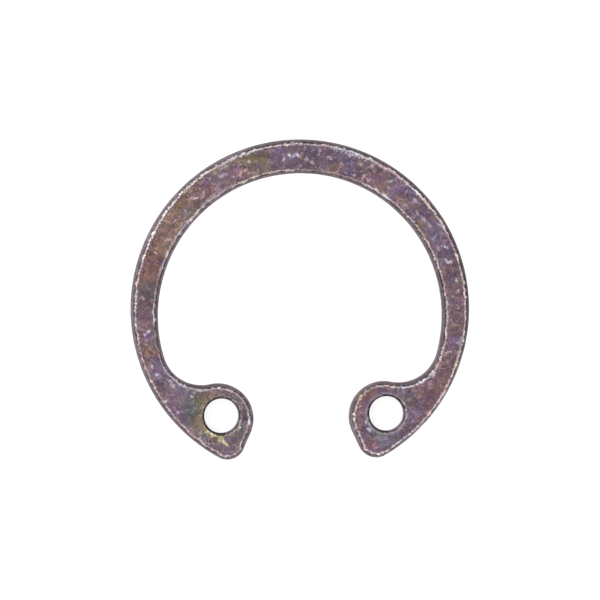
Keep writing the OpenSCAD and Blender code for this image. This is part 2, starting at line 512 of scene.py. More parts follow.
# Each patch of the film is its middle in millimetres, its reach, its strength and its colour
PATCHES = (
    (-2.3, 8.7, 1.0, 0.65, OLIVE),
    (-4.0, 8.4, 1.2, 0.8, OLIVE),
    (-3.6, 7.8, 0.6, 0.7, PLUM),
    (-4.6, 7.5, 0.6, 0.6, VIOLET),
    (-5.5, 6.9, 0.6, 0.65, PLUM),
    (-6.1, 7.2, 0.5, 0.7, BROWN),
    (-4.9, 8.1, 0.4, 0.7, BROWN),
    (-5.2, 6.6, 0.7, 0.5, BROWN),
    (-7.0, 5.7, 1.2, 0.9, BROWN),
    (-6.4, 5.5, 0.5, 0.6, SLATE),
    (-7.9, 4.1, 1.2, 0.9, BROWN),
    (-7.6, 3.4, 0.5, 0.5, OLIVE),
    (-8.5, 2.5, 1.0, 0.7, RUST),
    (-8.8, 1.1, 0.7, 0.9, STONE),
    (-8.8, 1.8, 0.25, 0.7, RUST),
    (-8.7, 0.4, 0.3, 0.7, RUST),
    (-8.8, -0.4, 0.6, 0.45, PLUM),
    (-8.7, -1.3, 0.35, 0.8, VIOLET),
    (-8.95, -2.3, 0.5, 0.6, BROWN),
    (-8.6, -2.5, 0.4, 0.4, RUST),
    (-8.2, -2.9, 0.5, 0.8, DUSK),
    (-8.6, -1.7, 0.4, 0.4, DUSK),
    (-8.3, -3.7, 0.7, 1.0, HEATHER),
    (-8.8, -3.3, 0.3, 0.5, ROSE),
    (-7.8, -4.7, 0.7, 0.6, PLUM),
    (-7.2, -5.9, 0.7, 0.8, VIOLET),
    (-6.5, -5.1, 0.7, 0.9, SLATE),
    (-6.2, -5.8, 0.7, 0.55, TEAL),
    (-5.7, -5.2, 0.6, 0.8, OLIVE),
    (-6.0, -6.5, 0.6, 0.6, OLIVE),
    (-3.3, -5.2, 0.7, 0.7, SLATE),
    (-3.4, -6.1, 0.5, 0.6, DUSK),
    (-3.5, -7.1, 0.5, 0.8, TEAL),
    (-4.2, -7.9, 0.5, 0.6, VIOLET),
    (-0.8, 8.9, 0.9, 0.7, VIOLET),
    (0.4, 8.9, 0.6, 0.5, BLUE),
    (1.4, 8.8, 0.9, 0.5, VIOLET),
    (2.7, 8.5, 0.9, 0.8, VIOLET),
    (0.6, 8.1, 0.6, 0.7, RUST),
    (2.2, 8.0, 0.5, 0.7, BROWN),
    (4.4, 7.7, 0.8, 0.6, PLUM),
    (4.2, 8.2, 0.6, 0.6, STONE),
    (2.9, 7.9, 0.4, 0.5, HEATHER),
    (4.9, 6.8, 0.5, 0.7, BROWN),
    (6.2, 6.6, 0.7, 0.8, VIOLET),
    (7.1, 6.1, 0.5, 0.6, RUST),
    (5.9, 6.2, 0.4, 0.8, BROWN),
    (7.1, 5.3, 0.7, 0.8, VIOLET),
    (7.0, 4.8, 0.4, 0.6, BROWN),
    (7.9, 4.4, 0.7, 0.4, BLUE),
    (7.8, 4.5, 0.5, 0.5, HEATHER),
    (8.4, 3.3, 0.7, 0.8, VIOLET),
    (8.5, 2.7, 0.3, 0.7, BLUE),
    (8.8, 1.7, 0.8, 0.5, PLUM),
    (9.0, -0.1, 0.9, 0.2, RUST),
    (8.7, 0.0, 0.4, 0.5, HEATHER),
    (8.3, -3.7, 0.4, 0.5, HEATHER),
    (9.0, -2.0, 0.4, 0.8, VIOLET),
    (8.6, -3.5, 0.8, 0.4, RUST),
    (7.9, -4.9, 0.9, 0.6, RUST),
    (7.2, -5.5, 0.8, 0.6, PLUM),
    (6.3, -6.1, 0.6, 0.9, HEATHER),
    (6.0, -5.2, 0.6, 0.6, SLATE),
    (3.7, -5.0, 0.6, 0.8, RUST),
    (3.3, -6.2, 0.35, 0.4, MAUVE),
    (3.6, -5.6, 0.3, 0.5, PLUM),
    (3.8, -6.0, 0.3, 0.8, VIOLET),
    (4.0, -5.4, 0.3, 0.7, VIOLET),
    (4.6, -5.0, 0.3, 0.3, VIOLET),
    (5.6, -4.9, 0.4, 0.6, HEATHER),
    (3.9, -6.9, 0.4, 0.8, VIOLET),
    (3.5, -7.4, 0.4, 0.5, HEATHER),
    (4.5, -7.4, 0.4, 0.5, TEAL),
    (4.9, -7.7, 0.4, 0.5, BLUE),
    (5.5, -7.2, 0.4, 0.4, BLUE),
    (4.1, -7.9, 0.4, 0.7, PLUM),
    (-9.0, 0.1, 0.8, 0.7, DUSK),
    (-8.8, 1.0, 0.5, 0.5, DUSK),
    (-8.9, -1.3, 0.5, 0.4, DUSK),
    (0.9, 9.0, 0.8, 0.5, DUSK),
    (0.2, 8.3, 0.7, 0.65, DUSK),
    (1.7, 8.9, 0.6, 0.7, DUSK),
    (8.5, 2.9, 0.6, 0.5, DUSK),
    (9.0, 1.5, 0.8, 1.0, DUSK),
    (-7.1, -5.5, 0.5, 0.6, DUSK),
    (-3.5, -6.4, 0.7, 0.5, DUSK),
    (-3.7, -7.4, 0.5, 0.6, DUSK),
    (6.6, -5.4, 0.6, 0.4, DUSK),
    (-8.1, 4.5, 0.6, 0.4, DUSK),
    (-8.7, 3.1, 0.5, 0.35, DUSK),
    (8.7, -3.1, 0.7, 0.5, DUSK),
    (7.2, -4.6, 0.8, 0.45, DUSK),
    (-0.1, 9.2, 0.5, 0.7, DUSK),
    (8.6, -1.5, 0.5, 0.5, DUSK),
    (-7.6, -4.7, 0.4, 0.6, HAZE),
    (6.2, -5.7, 0.6, 0.3, DUSK),
    (7.1, 5.9, 0.5, 0.35, DUSK),
    (9.1, 1.6, 0.5, 0.3, DUSK),
    (-6.9, -4.6, 0.5, 0.7, HEATHER),
    (-4.6, -4.9, 0.4, 0.7, SLATE),
    (-5.6, -7.1, 0.4, 0.2, MIST),
    (-4.6, -7.7, 0.3, 0.15, MIST),
    (-4.2, 7.2, 0.3, 0.5, BROWN),
    (5.8, 6.8, 0.6, 0.5, HEATHER),
    (6.6, 5.6, 0.5, 0.5, HEATHER),
)
# Straw colour by the left hole: middle in millimetres, reach, strength
HALO = (
    (-5.75, -6.1, 0.15, 0.4),
    (-5.65, -5.6, 0.16, 0.35),
    (-5.7, -6.6, 0.18, 0.5),
    (-5.45, -6.95, 0.2, 0.6),
    (-5.1, -7.2, 0.2, 0.55),
    (-4.7, -7.45, 0.2, 0.55),
    (-4.4, -7.65, 0.16, 0.4),
    (-3.9, -7.2, 0.14, 0.3),
)
# Bright marks on the upper face, rubbed spots partly painted as glints of light: middle in millimetres,
# length, angle, strength and colour
RUBS_AND_GLINTS = (
    (-7.55, 4.1, 0.22, 5, 0.8, PINK),
    (-8.3, 3.35, 0.16, -50, 0.9, PINK),
    (-8.25, 2.65, 0.1, 0, 0.6, PINK),
    (-7.15, 5.2, 0.16, 20, 0.7, PINK),
    (-6.8, 4.95, 0.14, 60, 0.6, PEACH),
    (-7.6, 3.3, 0.16, 60, 0.8, FROST),
    (-6.05, 6.45, 0.24, -10, 1.2, PINK),
    (-5.6, 6.5, 0.14, 30, 0.8, PINK),
    (-5.2, 6.3, 0.12, -20, 0.7, PEACH),
    (-5.5, 6.8, 0.1, 60, 0.6, PINK),
    (-4.45, 7.7, 0.2, 20, 0.8, LILAC),
    (-3.35, 7.85, 0.16, 60, 0.8, PINK),
    (-3.1, 8.0, 0.12, -30, 0.8, PINK),
    (-2.5, 7.75, 0.14, 10, 0.7, PINK),
    (-3.75, 7.65, 0.1, 20, 0.8, LILAC),
    (-4.2, 7.8, 0.1, -60, 0.7, LILAC),
    (-4.5, 8.1, 0.14, 30, 0.7, CREAM),
    (-4.85, 7.9, 0.1, 50, 0.6, CREAM),
    (-4.2, 8.25, 0.12, 10, 0.6, FROST),
    (-2.8, 7.85, 0.2, 10, 0.8, PINK),
    (-2.85, 8.55, 0.1, -30, 0.9, PEACH),
    (-0.88, 8.6, 0.12, 60, 1.3, FROST),
    (-0.53, 8.86, 0.12, -60, 1.1, FROST),
    (-0.3, 8.8, 0.09, 40, 1.1, LILAC),
    (-0.1, 8.85, 0.16, -45, 1.0, FROST),
    (0.1, 8.25, 0.1, 20, 1.0, PINK),
    (0.45, 8.6, 0.1, -40, 0.9, LILAC),
    (0.76, 8.42, 0.1, -50, 1.2, FROST),
    (1.2, 9.0, 0.16, 80, 0.6, LILAC),
    (1.85, 8.65, 0.12, -50, 0.8, LILAC),
    (2.25, 7.9, 0.14, 40, 0.8, PEACH),
    (2.75, 7.8, 0.1, 0, 0.7, PEACH),
    (3.2, 7.7, 0.12, 20, 0.7, PINK),
    (2.5, 8.3, 0.1, -40, 0.6, LILAC),
    (8.6, 0.1, 0.12, -60, 0.6, LILAC),
    (8.5, -0.3, 0.1, 40, 0.5, LILAC),
    (3.75, 7.55, 0.17, 60, 1.0, PINK),
    (3.95, 7.4, 0.14, -50, 0.9, PINK),
    (3.55, 8.3, 0.2, -70, 0.8, PINK),
    (4.25, 8.25, 0.15, 60, 0.9, PINK),
    (4.6, 8.25, 0.17, -30, 1.0, PINK),
    (5.0, 8.05, 0.12, -50, 0.9, BLUSH),
    (2.9, 9.1, 0.12, -20, 0.8, FROST),
    (3.3, 8.95, 0.14, -60, 0.8, FROST),
    (3.0, 8.8, 0.1, 50, 0.7, FROST),
    (3.7, 8.75, 0.1, -20, 0.7, FROST),
    (4.4, 6.8, 0.12, -20, 0.9, FROST),
    (4.95, 6.5, 0.14, -40, 0.9, FROST),
    (5.3, 7.3, 0.22, 10, 0.8, FROST),
    (5.15, 6.95, 0.14, -40, 0.7, PINK),
    (6.7, 6.15, 0.12, -45, 0.8, FROST),
    (6.8, 5.45, 0.14, -50, 0.8, PINK),
    (7.15, 5.1, 0.22, -45, 0.9, LILAC),
    (7.5, 4.75, 0.16, -60, 0.7, LILAC),
    (8.1, 4.75, 0.14, 0, 0.7, LILAC),
    (7.8, 4.05, 0.22, 50, 0.8, LILAC),
    (8.4, 3.45, 0.14, -30, 1.1, FROST),
    (8.5, 2.6, 0.14, -50, 1.6, FROST),
    (8.66, 2.6, 0.12, 50, 1.5, FROST),
    (9.05, 1.5, 0.12, -60, 0.7, FROST),
    (9.1, 0.9, 0.14, 50, 0.7, LILAC),
    (8.8, 0.6, 0.09, 20, 0.7, LILAC),
    (8.85, -1.05, 0.12, -50, 0.6, PINK),
    (9.1, -2.05, 0.17, 30, 0.9, LILAC),
    (8.55, -2.6, 0.2, 10, 0.8, PINK),
    (7.65, -3.85, 0.2, 60, 0.9, FROST),
    (7.25, -6.1, 0.14, -20, 0.7, PINK),
    (5.55, -7.85, 0.12, 40, 0.7, FROST),
    (4.25, -8.05, 0.1, 50, 0.7, PINK),
    (3.9, -7.0, 0.17, -45, 0.9, FROST),
    (3.7, -6.55, 0.12, 80, 0.8, LILAC),
    (-9.05, 0.75, 0.15, -50, 0.6, LILAC),
    (-8.75, -1.15, 0.16, 40, 1.4, FROST),
    (-8.95, -1.35, 0.1, 20, 1.0, LILAC),
    (-8.57, -3.23, 0.1, 60, 1.4, FROST),
    (-8.3, -3.65, 0.14, -20, 1.6, FROST),
    (-7.6, -4.0, 0.2, -30, 0.7, FROST),
    (-7.4, -4.3, 0.24, -40, 0.6, FROST),
    (-7.8, -5.2, 0.14, 20, 0.8, FROST),
    (-7.3, -5.65, 0.16, -50, 0.8, MAGENTA),
    (-7.15, -5.85, 0.08, -70, 0.9, LILAC),
    (-6.8, -5.8, 0.18, 10, 0.45, MAGENTA),
    (-7.0, -5.5, 0.1, 60, 0.4, MAGENTA),
    (-5.3, -7.7, 0.12, 20, 0.8, LILAC),
    (-5.43, -7.02, 0.1, -20, 1.4, STRAW),
    (-5.17, -7.14, 0.1, -50, 1.4, STRAW),
    (-5.0, -7.22, 0.1, -35, 1.3, STRAW),
    (-4.78, -7.4, 0.12, -60, 1.4, STRAW),
    (-4.6, -7.36, 0.1, 10, 1.4, STRAW),
    (-4.66, -7.52, 0.1, -40, 1.7, PALE),
    (-4.52, -7.58, 0.12, -60, 1.7, PALE),
    (-4.36, -7.72, 0.1, -40, 1.0, STRAW),
    (-3.6, -6.75, 0.1, 60, 1.5, PALE),
    (-6.3, -4.95, 0.1, 20, 0.7, FROST),
    (-6.6, -4.6, 0.1, -30, 0.8, FROST),
    (-6.15, -4.75, 0.08, 60, 0.8, FROST),
    (-6.9, -4.35, 0.12, -50, 0.7, FROST),
    (-5.9, -4.6, 0.1, 10, 0.7, CHALK),
)
# Bare steel along the edges: angle in degrees from +X, strength, spread in millimetres, how light the
# rolled edge outside it is, and colour. The strength is partly a painted highlight on the crease, and the
# lightness is painted light and shade of the rolled edges and of the hole rims.
OUTER_WEAR_AND_PAINTED_LIGHT = (
    (-60, 0.8, 0.07, 1.1, BLUSH),
    (-50, 0.95, 0.09, 1.2, CHALK),
    (-40, 1.15, 0.13, 1.38, BLUSH),
    (-30, 1.0, 0.15, 1.34, BLUSH),
    (-21, 0.9, 0.14, 1.05, PEACH),
    (-12, 0.85, 0.13, 0.8, CREAM),
    (-3, 0.75, 0.12, 0.67, PEACH),
    (4, 0.9, 0.15, 0.62, PEACH),
    (11, 0.85, 0.15, 0.64, CREAM),
    (17, 0.95, 0.14, 0.7, PEACH),
    (24, 0.85, 0.14, 0.72, PINK),
    (31, 0.95, 0.15, 0.75, PEACH),
    (38, 1.05, 0.2, 0.77, PEACH),
    (45, 1.0, 0.2, 0.8, CHALK),
    (52, 1.0, 0.18, 0.82, BLUSH),
    (59, 1.0, 0.22, 0.82, PINK),
    (66, 0.85, 0.36, 0.82, FROST),
    (74, 0.72, 0.36, 0.85, FROST),
    (82, 0.66, 0.14, 0.88, BLUSH),
    (88, 0.76, 0.12, 0.9, CREAM),
    (96, 0.95, 0.14, 0.92, CREAM),
    (103, 1.0, 0.13, 1.0, CHALK),
    (110, 1.0, 0.2, 1.1, FROST),
    (117, 0.95, 0.24, 1.2, FROST),
    (124, 1.0, 0.15, 1.15, CREAM),
    (132, 1.0, 0.15, 1.15, CHALK),
    (141, 0.95, 0.17, 1.15, CHALK),
    (150, 1.08, 0.16, 1.17, CHALK),
    (158, 1.08, 0.13, 1.14, CHALK),
    (167, 0.9, 0.11, 0.96, PINK),
    (176, 0.74, 0.11, 0.92, CHALK),
    (185, 0.7, 0.1, 0.92, FROST),
    (194, 0.8, 0.09, 1.0, PINK),
    (203, 0.72, 0.08, 1.02, PEACH),
    (212, 0.68, 0.08, 1.02, PEACH),
    (222, 0.69, 0.08, 1.02, BLUSH),
    (232, 0.7, 0.08, 1.0, BLUSH),
)
INNER_WEAR_AND_PAINTED_LIGHT = (
    (-32, 0.85, 0.12, 0.95, FROST),
    (-20, 0.65, 0.08, 0.95, BLUSH),
    (-8, 0.7, 0.07, 0.75, BLUSH),
    (2, 0.75, 0.07, 0.7, CREAM),
    (12, 0.7, 0.07, 0.7, BLUSH),
    (22, 0.65, 0.07, 0.84, CREAM),
    (32, 0.68, 0.07, 1.02, PEACH),
    (42, 0.68, 0.08, 1.02, PEACH),
    (52, 0.66, 0.11, 1.05, FROST),
    (62, 0.54, 0.1, 1.05, FROST),
    (72, 0.5, 0.1, 1.0, ROSE),
    (84, 0.58, 0.12, 0.88, ASH),
    (96, 0.58, 0.12, 0.88, CREAM),
    (106, 0.6, 0.12, 0.92, PEACH),
    (113, 0.75, 0.1, 1.05, CREAM),
    (120, 0.55, 0.26, 1.05, LILAC),
    (127, 0.5, 0.28, 1.08, LILAC),
    (135, 0.74, 0.1, 1.1, PEACH),
    (143, 0.5, 0.24, 1.1, FROST),
    (150, 0.6, 0.2, 1.05, CREAM),
    (158, 0.58, 0.2, 1.0, FROST),
    (166, 0.5, 0.1, 0.9, ROSE),
    (173, 0.55, 0.08, 0.84, BLUSH),
    (179, 0.74, 0.1, 0.84, CHALK),
    (186, 0.56, 0.07, 0.84, ASH),
    (194, 0.6, 0.07, 0.9, ROSE),
    (203, 0.6, 0.1, 0.95, LILAC),
)
# The same at spots round the lugs: x and y in millimetres first
LUG_WEAR_AND_PAINTED_LIGHT = (
    (-6.6, -4.1, 0.58, 0.24, 0.8, FROST),
    (-5.8, -4.4, 0.58, 0.22, 0.7, FROST),
    (-5.0, -4.5, 0.74, 0.08, 0.76, CHALK),
    (-4.3, -4.5, 0.64, 0.09, 0.94, PINK),
    (-3.6, -4.8, 0.56, 0.12, 0.84, BLUSH),
    (-3.1, -5.4, 0.6, 0.12, 0.8, BLUSH),
    (-2.9, -6.3, 0.78, 0.12, 0.85, CHALK),
    (-3.1, -7.2, 0.8, 0.1, 1.0, BLUSH),
    (-3.5, -8.0, 0.75, 0.08, 1.0, BLUSH),
    (-4.3, -8.3, 0.75, 0.08, 1.0, BLUSH),
    (-5.2, -7.9, 0.75, 0.08, 1.0, BLUSH),
    (2.9, -6.3, 0.8, 0.14, 1.0, CREAM),
    (3.1, -5.5, 0.9, 0.2, 1.0, CREAM),
    (3.5, -4.9, 0.9, 0.25, 1.0, HONEY),
    (4.3, -4.5, 0.7, 0.08, 1.0, PEACH),
    (5.0, -4.5, 0.75, 0.08, 0.9, BLUSH),
    (5.8, -4.4, 0.78, 0.1, 0.8, CHALK),
    (6.6, -4.0, 0.9, 0.16, 0.82, FROST),
    (3.1, -7.2, 0.8, 0.1, 1.0, BLUSH),
    (3.5, -8.0, 0.75, 0.08, 1.0, BLUSH),
    (4.3, -8.3, 0.95, 0.08, 1.1, CHALK),
    (5.2, -7.9, 0.9, 0.09, 1.1, CHALK),
)
# The same at the edges of the plier holes: which hole comes first
HOLE_WEAR_AND_PAINTED_LIGHT = (
    (0, 15, 0.35, 0.05, 2.1, ASH),
    (0, 45, 0.4, 0.04, 2.0, CREAM),
    (0, 75, 0.4, 0.05, 1.6, HONEY),
    (0, 105, 0.5, 0.06, 1.2, AMBER),
    (0, 135, 0.6, 0.07, 1.1, AMBER),
    (0, 165, 0.6, 0.08, 1.0, AMBER),
    (0, 195, 0.65, 0.1, 0.9, GOLD),
    (0, 220, 0.55, 0.09, 0.9, STRAW),
    (0, 245, 0.5, 0.09, 0.9, STRAW),
    (0, 265, 0.45, 0.07, 1.2, STRAW),
    (0, 290, 0.45, 0.04, 2.9, STRAW),
    (0, 312, 0.4, 0.03, 3.6, CREAM),
    (0, 330, 0.5, 0.04, 4.0, STRAW),
    (0, 350, 0.4, 0.06, 2.8, FROST),
    (1, 0, 0.4, 0.06, 2.5, LILAC),
    (1, 30, 0.4, 0.04, 1.2, CREAM),
    (1, 60, 0.35, 0.06, 1.1, LILAC),
    (1, 90, 0.35, 0.1, 1.2, LILAC),
    (1, 115, 0.3, 0.15, 1.8, LILAC),
    (1, 140, 0.3, 0.2, 1.8, LILAC),
    (1, 165, 0.35, 0.25, 1.1, PINK),
    (1, 190, 0.4, 0.25, 1.0, LILAC),
    (1, 215, 0.5, 0.25, 0.9, FROST),
    (1, 235, 0.45, 0.25, 0.9, MIST),
    (1, 260, 0.4, 0.16, 1.0, MIST),
    (1, 285, 0.4, 0.1, 2.8, LILAC),
    (1, 315, 0.3, 0.1, 3.9, LILAC),
    (1, 340, 0.35, 0.1, 3.7, LILAC),
)
# How far in from the edges the middles of these zones lie, in millimetres
OUTER_WEAR_IN = 0.25
INNER_WEAR_IN = 0.3
HOLE_WEAR_IN = 0.15
# Added to the squared distances, so that the zones pass softly into each other
WEAR_BLUR = 0.03


def paint(colours, share, colour):
    """Mixes a colour into the colours of all vertices, each by its share."""
    colours += share[:, None] * (np.array(srgb(*colour)) - colours)


def drift(spots, reach, size, octaves, offsets):
    """How far noise moves each vertex in x and y, in millimetres."""
    return reach * np.array([[fbm(x, y, z + up, size, octaves) for up in offsets] for x, y, z in spots])


def temper_and_glint_colours(spots):
    """The oxide film's colour at each vertex, with the bright marks on it, partly painted glints, as red,
    green, blue and 1.
    """
    upper = spots[:, 2] > -0.5 * TOP
    side = np.where(upper, 1, -1)
    flat = spots[:, :2] * np.column_stack([side, np.ones(len(spots))])
    place = flat + drift(spots, *PATCH_BEND)
    colours = np.tile(srgb(*MAUVE), (len(spots), 1))
    for x, y, reach, strength, colour in PATCHES:
        gap = np.hypot(place[:, 0] - x, place[:, 1] - y) / reach
        paint(colours, strength * np.exp(-(gap**3)), colour)
    level = colours.mean(axis=1, keepdims=True)
    tint = colours - level
    usual = tint.mean(axis=0)
    colours = level + usual + VIVID * (tint - usual)
    place = flat + drift(spots, *MARK_BEND)
    uneven = MARK_SHARE + np.array([fbm(x, y, z, *MARK_GRAIN) for x, y, z in spots])
    uneven = np.clip(uneven, LEAST_SHARE, 1)
    for x, y, reach, strength in HALO:
        gap = np.hypot(place[:, 0] - x, place[:, 1] - y) / reach
        paint(colours, upper * strength * np.exp(-(gap**2)), GOLD)
    # Bright marks: rubbed spots and straw streaks, their brightness partly painted glints
    for x, y, length, angle, strength, colour in RUBS_AND_GLINTS:
        turn = math.radians(angle)
        right, rise = place[:, 0] - x, place[:, 1] - y
        along = (right * math.cos(turn) + rise * math.sin(turn)) / length
        across = (rise * math.cos(turn) - right * math.sin(turn)) / MARK_WIDTH
        share = upper * uneven * strength * np.exp(-(along**4) - across**2)
        paint(colours, np.minimum(share, 1), colour)
    return np.column_stack([colours, np.ones(len(spots))])


def edge_wear_and_painted_light(spots):
    """What the zones near each vertex give it: wear, partly a painted highlight, its spread, the edge's
    painted light and shade, and the bare colour.
    """
    zones = [(0, 0, OUTER_R - OUTER_WEAR_IN, *zone) for zone in OUTER_WEAR_AND_PAINTED_LIGHT]
    zones += [(0, -INNER_DROP, INNER_R + INNER_WEAR_IN, *zone) for zone in INNER_WEAR_AND_PAINTED_LIGHT]
    zones += [(*HOLES[side], HOLE_R + HOLE_WEAR_IN, *zone) for side, *zone in HOLE_WEAR_AND_PAINTED_LIGHT]
    known = [
        (x + radius * math.cos(math.radians(angle)), y + radius * math.sin(math.radians(angle)), *values)
        for x, y, radius, angle, *values in zones
    ]
    known += LUG_WEAR_AND_PAINTED_LIGHT
    total = np.zeros(len(spots))
    result = np.zeros((len(spots), 6))
    for x, y, strength, spread, light, colour in known:
        weight = ((spots[:, 0] - x) ** 2 + (spots[:, 1] - y) ** 2 + WEAR_BLUR) ** -2
        total += weight
        result += weight[:, None] * np.array((strength, spread, light, *srgb(*colour)))
    result /= total[:, None]
    return *result[:, :3].T, np.column_stack([result[:, 3:], np.ones(len(spots))])


# Finish

# The film of the rolls and the walls, darker than the faces partly as painted shade of the steep sides, and
# that of the plier holes, painted near-black as the shadow in the holes: at the lip, under it and deeper
ROLL_GREY = (94, 82, 88)
WALL_GREY = (108, 97, 103)
HOLE_LIP = (92, 82, 88)
HOLE_DARK = (55, 47, 52)
HOLE_DEEP = (74, 68, 71)
# The finish's noises: size in millimetres, detail, roughness and distortion
TONE = (0.9, 2, 0.5, 0.3)
HUE = (0.5, 3, 0.6, 0.6)
CLOUD = (0.28, 3, 0.6, 0.6)
SPECK = (0.1, 2, 0.7)
FINEST = (0.045, 2)
TINT = (0.2, 2, 0.6)
LIVELINESS = (1.1, 1)
GLINTS = (0.11, 2, 0.6, 1.2)
GLINT_CLUSTERS = (0.45, 2)
PUNCH_LINES = (0.1, 3, 0.6)
NOTCHES = (0.17, 2, 0.6)
WANDER = (0.3, 3, 0.6)
THICKNESS = (0.2, 3, 0.7)
BREAKS = (0.18, 2, 0.6)
LONG_BREAKS = (0.6, 2, 0.6)
HOLE_BREAKS = (0.25, 2, 0.6)
FRINGE = (0.12, 3, 0.7, 0.5)
# The same for the lines along the rolls, in a space stretched so many times across the edge
STREAKS = (1, 2)
LINES_PER_MM = 14
# How much of a painted glint's and of a notch's colour shows
GLINT_SHARE = 0.75
NOTCH_SHARE = 0.5
# How far outside the crease the notches lie, and how far inside it the bare line, in millimetres
NOTCH_OUT = 0.06
LINE_IN = 0.015
# How much further in the bare line lies at the plier holes
HOLE_LINE_IN = 0.025
METALLIC = 0.85
ROUGHNESS = (0.52, 0.38)
WORN_SHINE = 0.1
BUMP_STRENGTH = 0.8
BUMP_HEIGHT = 0.03


def node(tree, kind, sockets=None, **settings):
    """A node with its settings made and its sockets linked or set. Returns its first output, if any."""
    made = tree.nodes.new(kind)
    for name, value in settings.items():
        setattr(made, name, value)
    for name, value in (sockets or {}).items():
        if isinstance(value, bpy.types.NodeSocket):
            tree.links.new(value, made.inputs[name])
        else:
            made.inputs[name].default_value = value
    return made.outputs[0] if made.outputs else None


def grain(tree, place, size, detail, roughness=0.6, distortion=0.0):
    """Noise, 0 to 1, with features of a given size in millimetres."""
    return node(tree, "ShaderNodeTexNoise", {"Vector": place, "Scale": 1 / size, "Detail": detail,
                                             "Roughness": roughness, "Distortion": distortion})


def span(tree, value, low, high, to_low=0.0, to_high=1.0):
    """Value between low and high as a smooth step between two results."""
    return node(tree, "ShaderNodeMapRange", {"Value": value, "From Min": low, "From Max": high,
                                             "To Min": to_low, "To Max": to_high},
                interpolation_type="SMOOTHSTEP")


def calc(tree, operation, a, b=0.0):
    """The result of a calculation with one or two values."""
    return node(tree, "ShaderNodeMath", {0: a, 1: b}, operation=operation)


def blend(tree, share, a, b, kind="MIX"):
    """Colour a, mixed with colour b by a share."""
    made = tree.nodes.new("ShaderNodeMix")
    made.data_type = "RGBA"
    made.blend_type = kind
    for socket, value in ((made.inputs[0], share), (made.inputs[6], a), (made.inputs[7], b)):
        if isinstance(value, bpy.types.NodeSocket):
            tree.links.new(value, socket)
        elif isinstance(value, tuple):
            socket.default_value = (*value, 1)
        else:
            socket.default_value = value
    return made.outputs[2]


def shade(tree, colour, factor):
    """A colour made darker or lighter by a factor."""
    return blend(tree, 1, colour, factor, "MULTIPLY")


def attribute(tree, name, output):
    """One of the mesh's values at its vertices."""
    made = tree.nodes.new("ShaderNodeAttribute")
    made.attribute_name = name
    return made.outputs[output]


def mottled_film_with_glints(tree, place, tone, hue, cloud, speck):
    """The film on the faces: its hue and brightness change from broad clouds to fine specks, livelier in some
    places than in others, and painted glints, highlights of small facets, lie on it in clusters."""
    film = attribute(tree, "temper_and_glints", "Color")
    film = blend(tree, span(tree, hue, 0.5, 0.68, 0, 0.5), film, srgb(*VIOLET))
    film = blend(tree, span(tree, hue, 0.5, 0.34, 0, 0.45), film, srgb(*BROWN))
    tint = grain(tree, place, *TINT)
    film = shade(tree, film, blend(tree, span(tree, tint, 0.36, 0.64), WARM, COOL))
    film = shade(tree, film, span(tree, tone, 0.3, 0.7, 0.76, 1.06))
    lively = span(tree, grain(tree, place, *LIVELINESS), 0.42, 0.58, 0.55, 1.2)
    clouds = span(tree, cloud, 0.38, 0.7, -0.22, 0.62)
    specks = span(tree, speck, 0.44, 0.72, -0.16, 0.6)
    for change in (clouds, specks):
        film = shade(tree, film, calc(tree, "ADD", calc(tree, "MULTIPLY", change, lively), 1))
    # Painted glints: bright specks in clusters that stand for highlights of small facets
    clusters = span(tree, grain(tree, place, *GLINT_CLUSTERS), 0.53, 0.62)
    glint = calc(tree, "MULTIPLY", span(tree, grain(tree, place, *GLINTS), 0.58, 0.72), clusters)
    glint_colour = blend(tree, span(tree, hue, 0.44, 0.56), srgb(*PEACH), srgb(*LILAC))
    return blend(tree, calc(tree, "MULTIPLY", glint, GLINT_SHARE), film, glint_colour)


def edge_film_and_shade(tree, place, crease, tone, hue, cloud):
    """The plain grey film of the rolls and the walls, dark partly as painted shade of the steep sides, in
    fine lines drawn along the rolls and down the walls, with dark notches just outside the crease."""
    grey = blend(tree, span(tree, crease, -0.05, -0.16), srgb(*ROLL_GREY), srgb(*WALL_GREY))
    across = calc(tree, "MULTIPLY", crease, LINES_PER_MM)
    along = node(tree, "ShaderNodeCombineXYZ", {"X": across, "Y": hue, "Z": tone})
    streak = span(tree, grain(tree, along, *STREAKS), 0.35, 0.65, -0.2, 0.25)
    streak = calc(tree, "MULTIPLY", streak, span(tree, crease, -0.4, -0.25, 0.3, 1))
    grey = shade(tree, grey, calc(tree, "ADD", streak, 1))
    grey = shade(tree, grey, span(tree, cloud, 0.35, 0.7, 0.88, 1.3))
    down = node(tree, "ShaderNodeVectorMath", {0: place, 1: (1, 1, DRAWN_STRETCH)}, operation="MULTIPLY")
    punched = span(tree, grain(tree, down, *PUNCH_LINES), 0.3, 0.7, -0.3, 0.3)
    punched = calc(tree, "MULTIPLY", punched, span(tree, crease, -0.2, -0.4))
    grey = shade(tree, grey, calc(tree, "ADD", punched, 1))
    close = span(tree, calc(tree, "ABSOLUTE", calc(tree, "ADD", crease, NOTCH_OUT)), 0.06, 0.03)
    notch = calc(tree, "MULTIPLY", close, span(tree, grain(tree, place, *NOTCHES), 0.48, 0.6))
    return shade(tree, grey, calc(tree, "SUBTRACT", 1, calc(tree, "MULTIPLY", notch, NOTCH_SHARE)))


def hole_film_and_shade(tree, crease, cloud):
    """The film in the plier holes, painted almost black under the lip as the shadow in the holes."""
    dark = blend(tree, span(tree, crease, 0.02, -0.07), srgb(*HOLE_LIP), srgb(*HOLE_DARK))
    dark = blend(tree, span(tree, crease, -0.3, -0.6), dark, srgb(*HOLE_DEEP))
    return shade(tree, dark, span(tree, cloud, 0.4, 0.6, 0.75, 1.4))


